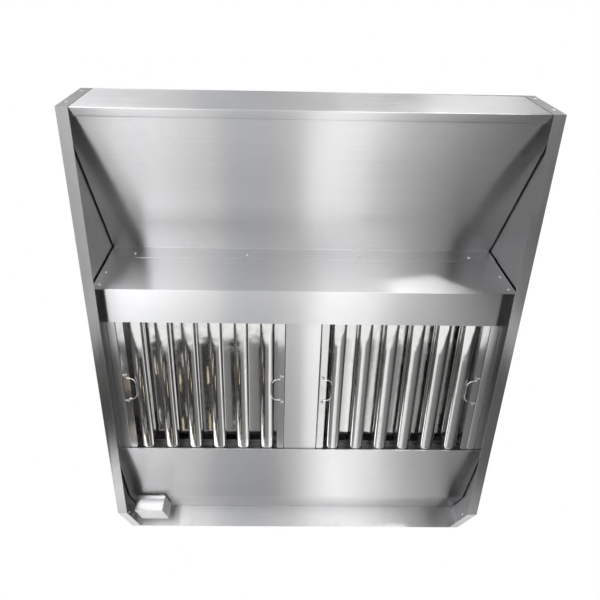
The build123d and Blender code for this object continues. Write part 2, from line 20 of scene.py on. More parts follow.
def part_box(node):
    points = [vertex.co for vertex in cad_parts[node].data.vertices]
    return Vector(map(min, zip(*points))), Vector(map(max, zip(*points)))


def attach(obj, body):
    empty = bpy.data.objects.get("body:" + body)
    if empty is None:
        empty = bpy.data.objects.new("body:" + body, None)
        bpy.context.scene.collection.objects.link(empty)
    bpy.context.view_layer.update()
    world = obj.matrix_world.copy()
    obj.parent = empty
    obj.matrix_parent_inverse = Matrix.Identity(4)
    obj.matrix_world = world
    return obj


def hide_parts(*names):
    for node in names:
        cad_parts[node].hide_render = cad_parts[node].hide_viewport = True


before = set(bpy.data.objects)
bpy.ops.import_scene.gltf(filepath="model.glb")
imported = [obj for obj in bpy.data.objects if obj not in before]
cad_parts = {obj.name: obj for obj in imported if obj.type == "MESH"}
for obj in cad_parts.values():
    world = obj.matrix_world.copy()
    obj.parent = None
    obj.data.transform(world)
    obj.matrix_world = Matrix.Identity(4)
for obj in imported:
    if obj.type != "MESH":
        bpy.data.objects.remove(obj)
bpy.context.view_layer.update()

log = logging.getLogger("hood")

SLOPE = math.radians(28.1)
FILTER_DEPTH = 0.044
GRAIN_MAP = "grain"
WELD = 1e-6
FLAT_ANGLE = math.radians(0.5)
CUT_EDGE_ANGLE = math.radians(60)

Colour = Place = tuple[float, float, float]
Pair = tuple[float, float]
VertRows = list[list[BMVert]]
Section = list[tuple[Vector, Vector]]
RailSection = list[tuple[float, float, float, float]]


class Grain(Enum):
    """Direction in which a sheet was brushed."""

    WIDE = Vector((1.0, 0.0, 0.0))
    DEEP = Vector((0.0, 1.0, 0.0))
    DOWN_SLOPE = Vector((0.0, math.cos(SLOPE), -math.sin(SLOPE)))


class Slot(Enum):
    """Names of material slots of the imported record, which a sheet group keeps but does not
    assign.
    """

    BRUSHED = "brushed_stainless"
    POLISHED = "polished_stainless"
    FRAME = "filter_frame_stainless"


class Graph:
    """Adds and wires the nodes of one tree."""

    def __init__(self, tree: NodeTree) -> None:
        """Keep the tree.

        Args:
            tree: Node tree of a material, of a world or of a group.
        """
        self.tree = tree

    @classmethod
    def of(cls, owner: Material | World) -> "Graph":
        """Start the nodes of a new material or world.

        Args:
            owner: The material or world.

        Returns:
            Its graph, without nodes.
        """
        owner.use_nodes = True
        owner.node_tree.nodes.clear()
        return cls(owner.node_tree)

    def add(self, kind: str, *, links: dict | None = None, **settings: object) -> Node:
        """Add one node.

        Args:
            kind: Node type name.
            links: Output sockets or plain values by input name or number.
            settings: Node properties.

        Returns:
            The new node.
        """
        node = self.tree.nodes.new(kind)
        for name, value in settings.items():
            setattr(node, name, value)
        for key, value in (links or {}).items():
            if isinstance(value, NodeSocket):
                self.tree.links.new(value, node.inputs[key])
            else:
                node.inputs[key].default_value = value
        return node

    def math(self, operation: str, first: object, second: object = 0.0,
             clamp: bool = False) -> NodeSocket:
        """Combine two values.

        Args:
            operation: Math operation name.
            first: First socket or number.
            second: Second socket or number.
            clamp: Whether the result is held between 0 and 1.

        Returns:
            The output socket.
        """
        links = {0: first, 1: second}
        return self.add("ShaderNodeMath", operation=operation, use_clamp=clamp,
                        links=links).outputs[0]

    def remap(self, value: object, low: float, high: float, to_low: float = 0.0,
              to_high: float = 1.0) -> NodeSocket:
        """Map a value from one range onto another, smoothly and with its ends held.

        Args:
            value: Socket to map.
            low: Start of the range.
            high: End of the range.
            to_low: Result at the start.
            to_high: Result at the end.

        Returns:
            The output socket.
        """
        links = {0: value, 1: low, 2: high, 3: to_low, 4: to_high}
        return self.add("ShaderNodeMapRange", interpolation_type="SMOOTHSTEP",
                        links=links).outputs[0]

    def mix(self, factor: object, first: object, second: object) -> NodeSocket:
        """Mix two colours.

        Args:
            factor: Socket or number.
            first: Colour at 0.
            second: Colour at 1.

        Returns:
            The output socket.
        """
        node = self.add("ShaderNodeMix", data_type="RGBA", links={0: factor, 6: first, 7: second})
        return node.outputs[2]

    def noise(self, vector: object, scale: float, detail: float, roughness: float) -> NodeSocket:
        """Sample noise.

        Args:
            vector: Coordinates.
            scale: Cells per unit of the coordinates.
            detail: Octaves.
            roughness: Weight of the finer octaves.

        Returns:
            The factor socket.
        """
        links = {"Vector": vector, "Scale": scale, "Detail": detail, "Roughness": roughness}
        return self.add("ShaderNodeTexNoise", links=links).outputs[0]

    def shrunk(self, vector: object, size: object) -> NodeSocket:
        """Divide coordinates by a size.

        Args:
            vector: Coordinates.
            size: Socket or number.

        Returns:
            The coordinates in units of the size.
        """
        links = {0: vector, 3: self.math("DIVIDE", 1.0, size)}
        return self.add("ShaderNodeVectorMath", operation="SCALE", links=links).outputs[0]


def new_group(name: str, inputs: dict[str, tuple[str, float | None]],
              outputs: tuple[str, ...]) -> tuple[Graph, Node, Node]:
    """Start a shader node group.

    Args:
        name: Name of the group.
        inputs: Socket type and default by input name.
        outputs: Names of its outputs, which are all plain values.

    Returns:
        The group's graph, its input node and its output node.
    """
    tree = bpy.data.node_groups.new(name, "ShaderNodeTree")
    for key, (kind, value) in inputs.items():
        socket = tree.interface.new_socket(key, in_out="INPUT", socket_type=kind)
        if value is not None:
            socket.default_value = value
    for key in outputs:
        tree.interface.new_socket(key, in_out="OUTPUT", socket_type="NodeSocketFloat")
    graph = Graph(tree)
    return graph, graph.add("NodeGroupInput"), graph.add("NodeGroupOutput")


class Effects:
    """Node groups that several finishes share, each built once."""

    def __init__(self) -> None:
        """Build the groups."""
        self.brushing = self._brushing()
        self.handling = self._handling()
        self.edges = self._edges()
        self.ripple = self._ripple()

    @staticmethod
    def _brushing() -> NodeTree:
        """Fine lines of a brushed sheet, as many per metre along each axis as Lines says.

        Returns:
            The group.
        """
        fine_share = 0.6
        graph, given, result = new_group(
            "Brushed grain",
            {"Vector": ("NodeSocketVector", None), "Lines": ("NodeSocketVector", None)},
            ("Streak", "Height"),
        )
        links = {0: given.outputs["Vector"], 1: given.outputs["Lines"]}
        placed = graph.add("ShaderNodeVectorMath", operation="MULTIPLY", links=links).outputs[0]
        fine = graph.noise(placed, scale=1.0, detail=3.0, roughness=0.6)
        broad = graph.noise(placed, scale=0.13, detail=2.0, roughness=0.5)
        both = graph.math("ADD", graph.math("MULTIPLY", fine, fine_share),
                          graph.math("MULTIPLY", broad, 1.0 - fine_share))
        graph.tree.links.new(graph.remap(both, low=0.3, high=0.7), result.inputs["Streak"])
        graph.tree.links.new(fine, result.inputs["Height"])
        return graph.tree

    @staticmethod
    def _handling() -> NodeTree:
        """Cloudy marks that wiping and handling leave on steel.

        Returns:
            The group.
        """
        graph, given, result = new_group(
            "Handling marks",
            {"Vector": ("NodeSocketVector", None), "Size": ("NodeSocketFloat", 0.12)},
            ("Mask", "Specks"),
        )
        placed = graph.shrunk(given.outputs["Vector"], given.outputs["Size"])
        cloud = graph.noise(placed, scale=1.0, detail=4.0, roughness=0.55)
        swirl = graph.noise(placed, scale=5.0, detail=2.0, roughness=0.5)
        specks = graph.noise(placed, scale=60.0, detail=1.0, roughness=0.5)
        mask = graph.math("MULTIPLY", graph.remap(cloud, low=0.42, high=0.7),
                          graph.remap(swirl, low=0.3, high=0.7))
        graph.tree.links.new(mask, result.inputs["Mask"])
        graph.tree.links.new(graph.remap(specks, low=0.68, high=0.8), result.inputs["Specks"])
        return graph.tree

    @staticmethod
    def _edges() -> NodeTree:
        """Mask of the cut and folded edges of a sheet, where the colour is lightened: partly edge
        wear, partly a painted highlight.

        Returns:
            The group.
        """
        graph, given, result = new_group(
            "Edge wear and painted highlight", {"Width": ("NodeSocketFloat", 0.001)}, ("Mask",))
        rounded = graph.add("ShaderNodeBevel", samples=4, links={"Radius": given.outputs["Width"]})
        geometry = graph.add("ShaderNodeNewGeometry")
        links = {0: rounded.outputs[0], 1: geometry.outputs["Normal"]}
        match = graph.add("ShaderNodeVectorMath", operation="DOT_PRODUCT", links=links)
        mask = graph.remap(match.outputs["Value"], low=0.995, high=0.8)
        graph.tree.links.new(mask, result.inputs["Mask"])
        return graph.tree

    @staticmethod
    def _ripple() -> NodeTree:
        """Slow unevenness of thin sheet, as a height.

        Returns:
            The group.
        """
        graph, given, result = new_group(
            "Sheet ripple",
            {"Vector": ("NodeSocketVector", None), "Length": ("NodeSocketFloat", 0.25)},
            ("Height",),
        )
        placed = graph.shrunk(given.outputs["Vector"], given.outputs["Length"])
        height = graph.noise(placed, scale=1.0, detail=1.0, roughness=0.4)
        graph.tree.links.new(height, result.inputs["Height"])
        return graph.tree


@dataclass(frozen=True)
class SteelFinish:
    """A steel surface: its colour, its gloss and the marks that it carries.

    Lines are per metre across the brushing, and run is their share along it. Depths, lengths
    and widths are in metres. Spangle is the size of zinc crystals, or 0 for none.
    """

    name: str
    colour: Colour
    roughness: float
    anisotropy: float = 0.0
    lines: float = 1600.0
    run: float = 0.012
    streak_colour: float = 0.035
    streak_roughness: float = 0.03
    grain_depth: float = 0.0
    ripple_length: float = 0.25
    ripple_depth: float = 0.0
    marks: float = 0.05
    mark_strength: float = 4.0
    mark_shade: float = 0.82
    speck_share: float = 0.5
    # Edge width and gain lighten the colour along edges: partly edge wear, partly a painted
    # highlight.
    edge_width: float = 0.001
    edge_wear_highlight_gain: float = 0.25
    spangle: float = 0.0
    spangle_shade: float = 1.25
    spangle_strength: float = 0.7
    grain_mapped: bool = True

    def material(self, effects: Effects) -> Material:
        """Build the material.

        Args:
            effects: Shared node groups.

        Returns:
            The material.
        """
        made = bpy.data.materials.new(self.name)
        graph = Graph.of(made)
        here = graph.add("ShaderNodeTexCoord").outputs["Object"]
        surface = {"Metallic": 1.0, "Anisotropic": self.anisotropy}
        if self.grain_mapped:
            along = graph.add("ShaderNodeUVMap", uv_map=GRAIN_MAP).outputs[0]
            spread = (self.lines, self.lines * self.run, 0.0)
            tangent = graph.add("ShaderNodeTangent", direction_type="UV_MAP", uv_map=GRAIN_MAP)
            surface["Tangent"] = tangent.outputs[0]
        else:
            along = here
            spread = (self.lines * self.run, self.lines, self.lines)
        links = {"Vector": along, "Lines": spread}
        brushing = graph.add("ShaderNodeGroup", node_tree=effects.brushing, links=links)
        marks = graph.add("ShaderNodeGroup", node_tree=effects.handling, links={"Vector": here})
        links = {"Width": self.edge_width}
        edge = graph.add("ShaderNodeGroup", node_tree=effects.edges, links=links).outputs["Mask"]

        colour = graph.mix(brushing.outputs["Streak"], self.shaded(1 - self.streak_colour),
                           self.shaded(1 + self.streak_colour))
        if self.spangle:
            colour = self._spangled(graph, here, colour)
        marked = graph.math("MULTIPLY", marks.outputs["Mask"], self.marks * self.mark_strength,
                            clamp=True)
        colour = graph.mix(marked, colour, self.shaded(self.mark_shade))
        # Edges are lightened in colour: partly edge wear, partly a painted highlight along the cut
        # and folded edges.
        surface["Base Color"] = graph.mix(edge, colour, self.shaded(1 + self.edge_wear_highlight_gain))
        surface["Roughness"] = self._roughened(graph, brushing, marks)

        height = graph.math("MULTIPLY", brushing.outputs["Height"], self.grain_depth)
        if self.ripple_depth:
            links = {"Vector": here, "Length": self.ripple_length}
            wave = graph.add("ShaderNodeGroup", node_tree=effects.ripple, links=links)
            rise = graph.math("MULTIPLY", wave.outputs["Height"], self.ripple_depth)
            height = graph.math("ADD", height, rise)
        links = {"Strength": 1.0, "Distance": 1.0, "Height": height}
        surface["Normal"] = graph.add("ShaderNodeBump", links=links).outputs[0]

        steel = graph.add("ShaderNodeBsdfPrincipled", links=surface)
        graph.add("ShaderNodeOutputMaterial", links={0: steel.outputs[0]})
        return made

    def shaded(self, share: float) -> tuple[float, float, float, float]:
        """The finish's colour times a share, held at 1."""
        return (*(min(1.0, channel * share) for channel in self.colour), 1.0)

    def _roughened(self, graph: Graph, brushing: Node, marks: Node) -> NodeSocket:
        """Roughness of the steel, with its streaks, marks and specks.

        Args:
            graph: The material's graph.
            brushing: Group node of the brushing.
            marks: Group node of the handling marks.

        Returns:
            The roughness.
        """
        half = self.streak_roughness / 2
        rough = graph.remap(brushing.outputs["Streak"], 0.0, 1.0, self.roughness - half,
                            self.roughness + half)
        cloud = graph.math("MULTIPLY", marks.outputs["Mask"], self.marks)
        specks = graph.math("MULTIPLY", marks.outputs["Specks"], self.marks * self.speck_share)
        return graph.math("ADD", graph.math("ADD", rough, cloud), specks, clamp=True)

    def _spangled(self, graph: Graph, here: NodeSocket, colour: NodeSocket) -> NodeSocket:
        """Add the crystal pattern of a zinc coating.

        Args:
            graph: The material's graph.
            here: Object coordinates.
            colour: Colour before the pattern.

        Returns:
            Colour with the pattern.
        """
        links = {"Vector": here, "Scale": 1 / self.spangle}
        cells = graph.add("ShaderNodeTexVoronoi", feature="F1", links=links).outputs["Color"]
        pattern = graph.add("ShaderNodeSeparateColor", links={0: cells}).outputs[0]
        factor = graph.math("MULTIPLY", pattern, self.spangle_strength)
        return graph.mix(factor, colour, self.shaded(self.spangle_shade))


class Finish(Enum):
    """Finishes of the hood's pieces."""

    SHEET = SteelFinish(
        "brushed sheet", (0.62, 0.62, 0.63), 0.29, anisotropy=1.0, grain_depth=0.000004,
        ripple_length=0.3, ripple_depth=0.0006)
    # The end panels' colour is painted shade: darker than the other sheets, to stand in for the
    # dark reflections on their inner faces.
    END_SHEET_PAINTED_SHADE = SteelFinish(
        "end sheet darkened as painted shade", (0.37, 0.37, 0.375), 0.29, anisotropy=0.9, grain_depth=0.000004,
        ripple_length=0.3, ripple_depth=0.0006)
    INSIDE = SteelFinish(
        "brushed inner sheet", (0.58, 0.58, 0.59), 0.4, grain_depth=0.00001, grain_mapped=False)
    RAIL = SteelFinish(
        "polished filter frame", (0.68, 0.68, 0.67), 0.13, anisotropy=0.5, lines=1400.0,
        grain_depth=0.000002, ripple_length=0.05, ripple_depth=0.00025, marks=0.1)
    MIRROR = SteelFinish(
        "polished baffle", (0.74, 0.735, 0.725), 0.09, anisotropy=0.5, lines=700.0, run=0.004,
        streak_roughness=0.04, streak_colour=0.04, ripple_length=0.035, ripple_depth=0.0003,
        marks=0.12, edge_wear_highlight_gain=0.1)
    # The lower rails' colour is painted shade: darkened to stand in for the deep shade at the foot
    # of the filters, below the baffles' ends.
    DRAIN_PAINTED_SHADE = SteelFinish("drain rail darkened as painted shade", (0.3, 0.3, 0.3), 0.4, anisotropy=0.3, marks=0.2)
    WIRE = SteelFinish(
        "bright wire", (0.78, 0.77, 0.76), 0.14, streak_roughness=0.05, marks=0.08,
        grain_mapped=False)
    ZINC = SteelFinish(
        "galvanised sheet", (0.5, 0.52, 0.53), 0.42, lines=60.0, run=1.0, spangle=0.012,
        marks=0.15, grain_mapped=False)
    BOLT = SteelFinish(
        "bright steel fastener", (0.9, 0.9, 0.89), 0.36, lines=2500.0, run=1.0, marks=0.05,
        edge_width=0.0004, grain_mapped=False)


class Finisher:
    """Gives pieces their materials, each built once."""

    def __init__(self) -> None:
        """Build every finish."""
        effects = Effects()
        self.materials = {finish: finish.value.material(effects) for finish in Finish}

    def dress(self, piece: Object, finish: Finish) -> None:
        """Give a piece one finish.

        Args:
            piece: The piece's object.
            finish: Its finish.
        """
        piece.data.materials.clear()
        piece.data.materials.append(self.materials[finish])

    def dress_node(self, node: str, finish: Finish) -> None:
        """Give a carried-over node its finish.

        Args:
            node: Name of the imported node.
            finish: Its finish.
        """
        self.dress(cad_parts[node], finish)
        log.info("%s carried over as %s", node, finish.value.name)


def lay_grain(mesh: Mesh, grain: Vector) -> None:
    """Write the grain map: U across the brushing and V along it, in metres.

    A face that the brushing meets head on takes a direction turned by a quarter.

    Args:
        mesh: Mesh to map.
        grain: Direction of brushing.
    """
    head_on = 0.05
    layer = mesh.uv_layers.new(name=GRAIN_MAP)
    spare = Vector((grain.y, grain.z, grain.x))
    for face in mesh.polygons:
        along = grain - face.normal * grain.dot(face.normal)
        if along.length < head_on:
            along = spare - face.normal * spare.dot(face.normal)
        along.normalize()
        across = along.cross(face.normal)
        for corner in face.loop_indices:
            place = mesh.vertices[mesh.loops[corner].vertex_index].co
            layer.data[corner].uv = (place.dot(across), place.dot(along))


def piece_from(bm: BMesh, name: str) -> Object:
    """Make an object of a finished bmesh.

    Args:
        bm: The bmesh, which is freed.
        name: Name of the piece.

    Returns:
        The object, at the origin.
    """
    mesh = bpy.data.meshes.new(name)
    bm.to_mesh(mesh)
    bm.free()
    made = bpy.data.objects.new(name, mesh)
    bpy.context.scene.collection.objects.link(made)
    return made


def two_skins(bm: BMesh, outer: VertRows, inner: VertRows,
              left_out: Callable[[int, int], bool]) -> None:
    """Make a sheet from two grids of vertices, closed along every rim.

    Args:
        bm: Mesh that holds the vertices.
        outer: Rows of vertices on the outside.
        inner: Rows of vertices on the inside.
        left_out: Says for a row and a column whether that cell is open.
    """
    twins = {}
    for outer_row, inner_row in zip(outer, inner):
        twins.update(zip(outer_row, inner_row))
    for step in range(len(outer) - 1):
        for span in range(len(outer[0]) - 1):
            if left_out(step, span):
                continue
            cell = (outer[step][span], outer[step][span + 1],
                    outer[step + 1][span + 1], outer[step + 1][span])
            bm.faces.new(cell)
            bm.faces.new([twins[vert] for vert in reversed(cell)])
    for edge in [e for e in bm.edges if e.is_boundary and e.verts[0] in twins]:
        first, second = edge.verts
        bm.faces.new((first, second, twins[second], twins[first]))
    bmesh.ops.delete(bm, geom=[v for v in bm.verts if not v.link_faces], context="VERTS")
    bmesh.ops.recalc_face_normals(bm, faces=bm.faces)


def shade(mesh: Mesh, angle: float = 30.0) -> None:
    """Shade a mesh smooth, with edges sharper than an angle kept crisp.

    Args:
        mesh: The mesh.
        angle: Largest smooth angle in degrees.
    """
    mesh.shade_smooth()
    mesh.set_sharp_from_angle(angle=math.radians(angle))


def sheet_from_node(node: str, grain: Grain) -> Object:
    """Copy a packed sheet, with its triangles joined and its grain laid.

    Args:
        node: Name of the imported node.
        grain: Direction of brushing.

    Returns:
        The new piece, which replaces the node.
    """
    bm = bmesh.new()
    bm.from_mesh(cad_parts[node].data)
    bmesh.ops.remove_doubles(bm, verts=bm.verts, dist=WELD)
    bmesh.ops.dissolve_limit(bm, angle_limit=FLAT_ANGLE, verts=bm.verts, edges=bm.edges)
    piece = piece_from(bm, f"{node}_sheet")
    lay_grain(piece.data, grain.value)
    shade(piece.data)
    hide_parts(node)
    return piece


@dataclass
class SheetGroup:
    """Folded sheets that one body carries."""

    body: str
    finish: Finish
    grains: dict[str, Grain]
    slot: Slot = Slot.BRUSHED

    def build(self, finisher: Finisher) -> None:
        """Copy and dress each sheet.

        Args:
            finisher: Source of the materials.
        """
        for node, grain in self.grains.items():
            piece = sheet_from_node(node, grain)
            finisher.dress(piece, self.finish)
            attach(piece, self.body)
            log.info("%s brushed %s", piece.name, grain.name.lower())


@dataclass
class CarriedNodes:
    """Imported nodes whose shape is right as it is."""

    finishes: dict[Finish, list[str]]

    def build(self, finisher: Finisher) -> None:
        """Dress each node.

        Args:
            finisher: Source of the materials.
        """
        for finish, nodes in self.finishes.items():
            for node in nodes:
                finisher.dress_node(node, finish)


@dataclass
class BaffleFilter:
    """One lift-out filter with its frame, baffles and two wire handles.

    Its own plane has X along its width, Y down the slope and Z into the plenum.
    """

    name: str
    corner: Vector
    width: float = 0.498
    length: float = 0.498
    depth: float = FILTER_DEPTH
    sheet: float = 0.0008
    pitch: float = 0.078
    front_count: int = 6
    front_web: float = 0.043
    front_corner: float = 0.009
    front_leg: float = 0.020
    front_cut: float = 0.0154
    front_crown: float = math.radians(16)
    rear_web: float = 0.056
    rear_corner: float = 0.007
    rear_leg: float = 0.028
    rear_cut: float = 0.0084
    rear_short: float = 0.038
    rear_crown: float = math.radians(8)
    end_front_rail: float = 0.015
    end_back_rail: float = 0.008
    rail_corner: float = 0.0014
    hole: float = 0.0034
    hole_pitch: float = 0.0052
    hole_rows: int = 7
    handle_reach: float = 0.028
    handle_half: float = 0.036
    handle_pin: float = 0.012
    handle_bend: float = 0.004
    handle_corner: float = 0.019
    handle_place: float = 0.262
    pivot_inset: float = 0.012
    wire: float = 0.0015
    wire_lift: float = 0.00035

    def build(self, finisher: Finisher) -> None:
        """Make and dress every piece of the filter.

        Args:
            finisher: Source of the materials.
        """
        rails = {f"{self.name}_{side}_rail": Grain.DOWN_SLOPE for side in ("left", "right")}
        rails[f"{self.name}_upper_rail"] = Grain.WIDE
        SheetGroup(self.name, Finish.RAIL, rails, Slot.FRAME).build(finisher)
        self.drain_rail(finisher)
        line = self.section(self.front_web, self.front_leg, self.front_corner, self.front_crown)
        ends = (self.front_cut, self.length - self.front_cut)
        front = self.baffles(line, self.front_web, self.front_count, ends)
        self.finish_row(front, "front_baffles", finisher)
        line = self.section(self.rear_web, self.rear_leg, self.rear_corner, self.rear_crown)
        ends = (self.rear_cut, self.length - self.rear_short)
        rear = self.baffles(line, self.rear_web, self.front_count - 1, ends, turned=True)
        self.finish_row(rear, "rear_baffles", finisher)
        for side, inward in (("left", 1), ("right", -1)):
            self.handle(side, inward, finisher)
        for node in ("tie_straps", "handle_eyes"):
            finisher.dress_node(f"{self.name}_{node}", Finish.INSIDE)
        finisher.dress_node(f"{self.name}_eye_rivets", Finish.BOLT)

    def placed(self, bm: BMesh, name: str) -> Object:
        """Make a piece of a shape in the filter's plane.

        Args:
            bm: The shape.
            name: Name of the piece.

        Returns:
            The piece, in the frame of the model.
        """
        matrix = Matrix.Translation(self.corner) @ Matrix.Rotation(-SLOPE, 4, "X")
        bmesh.ops.transform(bm, matrix=matrix, verts=bm.verts)
        bmesh.ops.recalc_face_normals(bm, faces=bm.faces)
        return piece_from(bm, name)

    def finish_row(self, bm: BMesh, part: str, finisher: Finisher) -> None:
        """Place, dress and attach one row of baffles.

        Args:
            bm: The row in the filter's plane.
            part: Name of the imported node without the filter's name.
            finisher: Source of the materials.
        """
        piece = self.placed(bm, f"{self.name}_{part}_polished")
        lay_grain(piece.data, Grain.DOWN_SLOPE.value)
        shade(piece.data, 40.0)
        finisher.dress(piece, Finish.MIRROR)
        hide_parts(f"{self.name}_{part}")
        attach(piece, self.name)
        log.info("%s built with %d faces", piece.name, len(piece.data.polygons))

    def baffles(self, line: Section, web: float, count: int, ends: Pair,
                turned: bool = False) -> BMesh:
        """Row of rounded channels.

        Args:
            line: Section of a baffle.
            web: Width of a baffle's face.
            count: How many there are.
            ends: Where the faces begin and end, cut back from the legs' ends.
            turned: Whether the row faces the plenum.

        Returns:
            The row in the filter's plane.
        """
        row = bmesh.new()
        first = (self.width - (count - 1) * self.pitch - web) / 2
        for number in range(count):
            one = self.channel(line, ends)
            if turned:
                bmesh.ops.scale(one, vec=(1.0, 1.0, -1.0), verts=one.verts)
                bmesh.ops.translate(one, vec=(0.0, 0.0, self.depth), verts=one.verts)
            place = (first + number * self.pitch, 0.0, 0.0)
            bmesh.ops.translate(one, vec=place, verts=one.verts)
            mesh = bpy.data.meshes.new("channel")
            one.to_mesh(mesh)
            one.free()
            row.from_mesh(mesh)
            bpy.data.meshes.remove(mesh)
        return row

    @staticmethod
    def section(web: float, leg: float, corner: float, crown: float) -> Section:
        """Outer line of a channel with a crowned face, from leg end to leg end.

        Args:
            web: Width of the baffle's face.
            leg: Depth of its legs.
            corner: Outer radius between face and leg.
            crown: Slant of the face beside the corner.

        Returns:
            Places and outward directions in X and Z.
        """
        crown_steps, bend_steps = 4, 8
        wide = (web / 2 - corner * (1 - math.sin(crown))) / math.sin(crown)
        turns = [crown * step / crown_steps for step in range(crown_steps + 1)]
        turns += [crown + (math.pi / 2 - crown) * step / bend_steps
                  for step in range(1, bend_steps + 1)]
        half = []
        for turn in turns:
            face, bend = min(turn, crown), max(turn, crown)
            x = wide * math.sin(face) + corner * (math.sin(bend) - math.sin(crown))
            z = wide * (1 - math.cos(face)) + corner * (math.cos(crown) - math.cos(bend))
            half.append((x, z, math.sin(turn), -math.cos(turn)))
        half.append((web / 2, leg, 1.0, 0.0))
        left = [(Vector((web / 2 - x, 0, z)), Vector((-out, 0, up)))
                for x, z, out, up in reversed(half[1:])]
        right = [(Vector((web / 2 + x, 0, z)), Vector((out, 0, up))) for x, z, out, up in half]
        return left + right

    def channel(self, line: Section, ends: Pair) -> BMesh:
        """One baffle from X=0, with its face at Z=0 and its legs running on past the face.

        Args:
            line: Section of the baffle.
            ends: Where its face begins and ends.

        Returns:
            The baffle.
        """
        bm = bmesh.new()
        stations = [self.sheet, *ends, self.length - self.sheet]
        outer = [[bm.verts.new(place + Vector((0, y, 0))) for y in stations] for place, _ in line]
        inner = [[bm.verts.new(place - out * self.sheet + Vector((0, y, 0))) for y in stations]
                 for place, out in line]
        last = len(line) - 2
        two_skins(bm, outer, inner, lambda step, span: span != 1 and 0 < step < last)
        return bm

    def drain_rail(self, finisher: Finisher) -> None:
        """Make and dress the lower rail, whose web is pierced with rows of drain holes.

        Args:
            finisher: Source of the materials.
        """
        line, holes = self.rail_section()
        across = math.floor((self.width - self.hole_pitch) / self.hole_pitch)
        start = (self.width - (across - 1) * self.hole_pitch - self.hole) / 2
        stations = [0.0]
        for number in range(across):
            near = start + number * self.hole_pitch
            stations += [near, near + self.hole]
        stations.append(self.width)
        bm = bmesh.new()
        two_skins(bm, self.rail_skin(bm, line, stations, 0.0),
                  self.rail_skin(bm, line, stations, self.sheet),
                  lambda step, span: step in holes and span % 2 == 1)
        piece = self.placed(bm, f"{self.name}_lower_rail_pierced")
        lay_grain(piece.data, Grain.WIDE.value)
        shade(piece.data)
        # The lower rail takes the colour darkened as painted shade.
        finisher.dress(piece, Finish.DRAIN_PAINTED_SHADE)
        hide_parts(f"{self.name}_lower_rail")
        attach(piece, self.name)
        log.info("%s pierced with %d holes", piece.name, across * self.hole_rows)

    def rail_section(self) -> tuple[RailSection, range]:
        """Outer line of the lower rail, from its front lip over its web to its back lip.

        Returns:
            Each point's distance from the lower edge, its height and its outward direction in
            both, and the points at which the rows of holes begin.
        """
        corner, steps = self.rail_corner, 4
        quarter = [math.radians(90 / steps * step) for step in range(steps + 1)]
        line = [(self.end_front_rail, 0.0, 0.0, -1.0)]
        for turn in quarter:
            out, up = math.sin(turn), math.cos(turn)
            line.append((corner * (1 - out), corner * (1 - up), -out, -up))
        holes = range(len(line), len(line) + 2 * self.hole_rows, 2)
        low = (self.depth - (self.hole_rows - 1) * self.hole_pitch - self.hole) / 2
        for row in range(self.hole_rows):
            below = low + row * self.hole_pitch
            line += [(0.0, below, -1.0, 0.0), (0.0, below + self.hole, -1.0, 0.0)]
        for turn in quarter:
            out, up = math.cos(turn), math.sin(turn)
            line.append((corner * (1 - out), self.depth - corner * (1 - up), -out, up))
        line.append((self.end_back_rail, self.depth, 0.0, 1.0))
        return line, holes

    def rail_skin(self, bm: BMesh, line: RailSection, stations: list[float],
                  inset: float) -> VertRows:
        """One side of the lower rail, with mitred ends.

        Args:
            bm: Mesh that takes the vertices.
            line: Section of the rail.
            stations: Places along its length.
            inset: How far this side lies under the outer one.

        Returns:
            A row of vertices for each point of the section.
        """
        rows = []
        for back, up, out_back, out_up in line:
            back, up = back - out_back * inset, up - out_up * inset
            share = 1 - 2 * back / self.width
            rows.append([bm.verts.new((back + x * share, self.length - back, up))
                         for x in stations])
        return rows

    def handle(self, side: str, inward: int, finisher: Finisher) -> None:
        """Make and dress one wire handle, lying flat over the side rail.

        Args:
            side: Side of the filter that carries it.
            inward: 1 where the filter's middle is towards +X, and -1 where it is towards -X.
            finisher: Source of the materials.
        """
        pin = self.handle_pin - self.handle_bend
        arm = self.handle_reach - self.handle_bend - self.handle_corner
        grip = 2 * (self.handle_half - self.handle_corner)
        foot, corner = (-90.0, self.handle_bend), (90.0, self.handle_corner)
        wire = BentWire(self.wire)
        for distance, bend in ((pin, foot), (arm, corner), (grip, corner), (arm, foot)):
            wire.run(distance)
            wire.turn(*bend)
        wire.run(pin)
        bm = wire.finished()
        if inward < 0:
            bmesh.ops.scale(bm, vec=(-1.0, 1.0, 1.0), verts=bm.verts)
        start = (self.pivot_inset if inward > 0 else self.width - self.pivot_inset,
                 self.handle_place - self.handle_half - self.handle_pin,
                 -self.wire - self.wire_lift)
        bmesh.ops.translate(bm, vec=start, verts=bm.verts)
        node = f"{self.name}_{side}_handle"
        piece = self.placed(bm, f"{node}_wire")
        shade(piece.data, 50.0)
        finisher.dress(piece, Finish.WIRE)
        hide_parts(node)
        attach(piece, node)
        log.info("%s bent from wire", piece.name)


